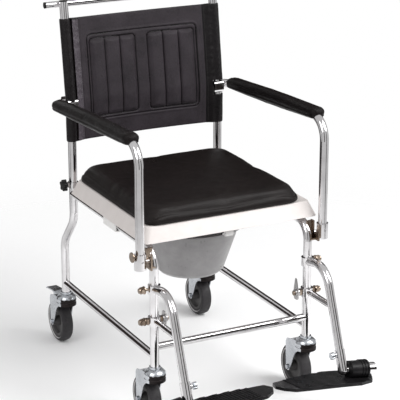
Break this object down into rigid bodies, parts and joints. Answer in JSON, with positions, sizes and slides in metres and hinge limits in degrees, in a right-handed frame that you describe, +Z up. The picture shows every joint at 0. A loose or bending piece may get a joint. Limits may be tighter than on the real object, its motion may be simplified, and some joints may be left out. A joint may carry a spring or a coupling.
{
  "type": "wheeled commode chair",
  "caption": "Wheeled commode chair with padded seat over a slide-out pan, vinyl sling back, flip-up padded arms and swing-away footrests on casters.",
  "frame": {"origin": "on the floor, at the centre of the chair's outline seen from above", "axes": "+Z up, -Y is the way the sitter faces, +X is the sitter's left"},
  "size_m": [0.6112, 0.917, 0.958],
  "materials": {
    "chrome": "polished",
    "zinc": "zinc plated, satin",
    "brown_zinc": "brown passivated zinc",
    "board": "moulded, satin",
    "white_plastic": "satin",
    "black_plastic": "satin",
    "tyre": "matt",
    "hub": "satin",
    "pan": "satin",
    "vinyl": "grained vinyl over foam",
    "back_vinyl": "grained vinyl"
  },
  "bodies": {
    "frame": {"arm_catch_left": "brown_zinc", "arm_catch_right": "brown_zinc", "caster_stems": "zinc", "front_leg_left": "chrome", "front_leg_right": "chrome", "low_cross_tube": "chrome", "low_side_rail_left": "chrome", "low_side_rail_right": "chrome", "pan_rail_left": "white_plastic", "pan_rail_right": "white_plastic", "rear_leg_left": "chrome", "rear_leg_right": "chrome", "seat_board": "board", "seat_clips": "white_plastic", "seat_cross_front": "chrome", "seat_cross_rear": "chrome", "seat_rail_left": "chrome", "seat_rail_right": "chrome", "socket_collars": "chrome"},
    "back": {"arm_bracket_left": "chrome", "arm_bracket_right": "chrome", "back_sling": "back_vinyl", "back_upright_left": "chrome", "back_upright_right": "chrome", "end_caps": "black_plastic", "push_bar": "chrome"},
    "pan": {"commode_pan": "pan"},
    "cushion": {"seat_cushion": "vinyl"},
    "fork_front_left": {"caster_fork_front_left": "zinc"},
    "wheel_front_left": {"caster_tyre_front_left": "tyre", "caster_hub_front_left": "hub"},
    "fork_front_right": {"caster_fork_front_right": "zinc"},
    "wheel_front_right": {"caster_tyre_front_right": "tyre", "caster_hub_front_right": "hub"},
    "fork_rear_left": {"caster_fork_rear_left": "zinc"},
    "wheel_rear_left": {"caster_tyre_rear_left": "tyre", "caster_hub_rear_left": "hub"},
    "pedal_left": {"brake_pedal_left": "zinc"},
    "fork_rear_right": {"caster_fork_rear_right": "zinc"},
    "wheel_rear_right": {"caster_tyre_rear_right": "tyre", "caster_hub_rear_right": "hub"},
    "pedal_right": {"brake_pedal_right": "zinc"},
    "arm_left": {"arm_tube_left": "chrome", "arm_pad_left": "vinyl"},
    "star_knob_left": {"star_knob_left": "black_plastic"},
    "hanger_left": {"hanger_left": "chrome"},
    "lever_left": {"release_lever_left": "zinc"},
    "stem_left": {"footrest_stem_left": "chrome"},
    "clamp_knob_left": {"clamp_knob_left": "zinc"},
    "footplate_left": {"footplate_left": "black_plastic"},
    "arm_right": {"arm_tube_right": "chrome", "arm_pad_right": "vinyl"},
    "arm_knob_right": {"arm_lock_knob_right": "brown_zinc"},
    "star_knob_right": {"star_knob_right": "black_plastic"},
    "hanger_right": {"hanger_right": "chrome"},
    "lever_right": {"release_lever_right": "zinc"},
    "stem_right": {"footrest_stem_right": "chrome"},
    "clamp_knob_right": {"clamp_knob_right": "zinc"},
    "footplate_right": {"footplate_right": "black_plastic"}
  },
  "joints": [
    {"name": "cushion_lift", "type": "slide", "parent": "frame", "child": "cushion", "axis": [0, 0, 1], "range_m": [0, 0.12]},
    {"name": "pan_slide", "type": "slide", "parent": "frame", "child": "pan", "axis": [0, 1, 0], "range_m": [0, 0.3]},
    {"name": "back_lift", "type": "slide", "parent": "frame", "child": "back", "axis": [0, 0, 1], "range_m": [0, 0.07]},
    {"name": "swivel_front_left", "type": "hinge", "parent": "frame", "child": "fork_front_left", "pos_m": [0.211, -0.2055, 0.138], "axis": [0, 0, 1], "continuous": true},
    {"name": "wheel_spin_front_left", "type": "hinge", "parent": "fork_front_left", "child": "wheel_front_left", "pos_m": [0.211, -0.1605, 0.057], "axis": [1, 0, 0], "continuous": true},
    {"name": "swivel_front_right", "type": "hinge", "parent": "frame", "child": "fork_front_right", "pos_m": [-0.211, -0.2055, 0.138], "axis": [0, 0, 1], "continuous": true},
    {"name": "wheel_spin_front_right", "type": "hinge", "parent": "fork_front_right", "child": "wheel_front_right", "pos_m": [-0.211, -0.1605, 0.057], "axis": [1, 0, 0], "continuous": true},
    {"name": "swivel_rear_left", "type": "hinge", "parent": "frame", "child": "fork_rear_left", "pos_m": [0.211, 0.3475, 0.138], "axis": [0, 0, 1], "continuous": true},
    {"name": "wheel_spin_rear_left", "type": "hinge", "parent": "fork_rear_left", "child": "wheel_rear_left", "pos_m": [0.211, 0.3925, 0.057], "axis": [1, 0, 0], "continuous": true},
    {"name": "brake_pedal_press_left", "type": "hinge", "parent": "fork_rear_left", "child": "pedal_left", "pos_m": [0.211, 0.3975, 0.1265], "axis": [-1, 0, 0], "range_deg": [0, 10]},
    {"name": "swivel_rear_right", "type": "hinge", "parent": "frame", "child": "fork_rear_right", "pos_m": [-0.211, 0.3475, 0.138], "axis": [0, 0, 1], "continuous": true},
    {"name": "wheel_spin_rear_right", "type": "hinge", "parent": "fork_rear_right", "child": "wheel_rear_right", "pos_m": [-0.211, 0.3925, 0.057], "axis": [1, 0, 0], "continuous": true},
    {"name": "brake_pedal_press_right", "type": "hinge", "parent": "fork_rear_right", "child": "pedal_right", "pos_m": [-0.211, 0.3975, 0.1265], "axis": [-1, 0, 0], "range_deg": [0, 10]},
    {"name": "arm_flip_left", "type": "hinge", "parent": "back", "child": "arm_left", "pos_m": [0.211, 0.3035, 0.692], "axis": [-1, 0, 0], "range_deg": [0, 80]},
    {"name": "star_knob_turn_left", "type": "hinge", "parent": "frame", "child": "star_knob_left", "pos_m": [0.231, 0.2795, 0.479], "axis": [1, 0, 0], "range_deg": [-180, 180]},
    {"name": "hanger_swing_left", "type": "hinge", "parent": "frame", "child": "hanger_left", "pos_m": [0.211, -0.2055, 0.315], "axis": [0, 0, 1], "range_deg": [0, 95]},
    {"name": "release_lever_turn_left", "type": "hinge", "parent": "hanger_left", "child": "lever_left", "pos_m": [0.183, -0.2025, 0.275], "axis": [-1, 0, 0], "range_deg": [0, 90]},
    {"name": "stem_length_left", "type": "slide", "parent": "hanger_left", "child": "stem_left", "axis": [0, -0.357, -0.9341], "range_m": [-0.014, 0.02]},
    {"name": "stem_clamp_turn_left", "type": "hinge", "parent": "stem_left", "child": "clamp_knob_left", "pos_m": [0.195, -0.37186, 0.168], "axis": [1, 0, 0], "range_deg": [-180, 180]},
    {"name": "footplate_fold_left", "type": "hinge", "parent": "stem_left", "child": "footplate_left", "pos_m": [0.211, -0.38562, 0.132], "axis": [-0.9903, 0, 0.1392], "range_deg": [-8, 85]},
    {"name": "arm_flip_right", "type": "hinge", "parent": "back", "child": "arm_right", "pos_m": [-0.211, 0.3035, 0.692], "axis": [-1, 0, 0], "range_deg": [0, 80]},
    {"name": "arm_lock_turn_right", "type": "hinge", "parent": "arm_right", "child": "arm_knob_right", "pos_m": [-0.267, -0.2105, 0.447], "axis": [1, 0, 0], "range_deg": [-180, 180]},
    {"name": "star_knob_turn_right", "type": "hinge", "parent": "frame", "child": "star_knob_right", "pos_m": [-0.231, 0.2795, 0.479], "axis": [1, 0, 0], "range_deg": [-180, 180]},
    {"name": "hanger_swing_right", "type": "hinge", "parent": "frame", "child": "hanger_right", "pos_m": [-0.211, -0.2055, 0.315], "axis": [0, 0, -1], "range_deg": [0, 95]},
    {"name": "release_lever_turn_right", "type": "hinge", "parent": "hanger_right", "child": "lever_right", "pos_m": [-0.183, -0.2025, 0.275], "axis": [1, 0, 0], "range_deg": [0, 90]},
    {"name": "stem_length_right", "type": "slide", "parent": "hanger_right", "child": "stem_right", "axis": [0, -0.357, -0.9341], "range_m": [-0.014, 0.02]},
    {"name": "stem_clamp_turn_right", "type": "hinge", "parent": "stem_right", "child": "clamp_knob_right", "pos_m": [-0.195, -0.37186, 0.168], "axis": [1, 0, 0], "range_deg": [-180, 180]},
    {"name": "footplate_fold_right", "type": "hinge", "parent": "stem_right", "child": "footplate_right", "pos_m": [-0.211, -0.38562, 0.132], "axis": [-0.9903, 0, -0.1392], "range_deg": [-8, 85]}
  ]
}
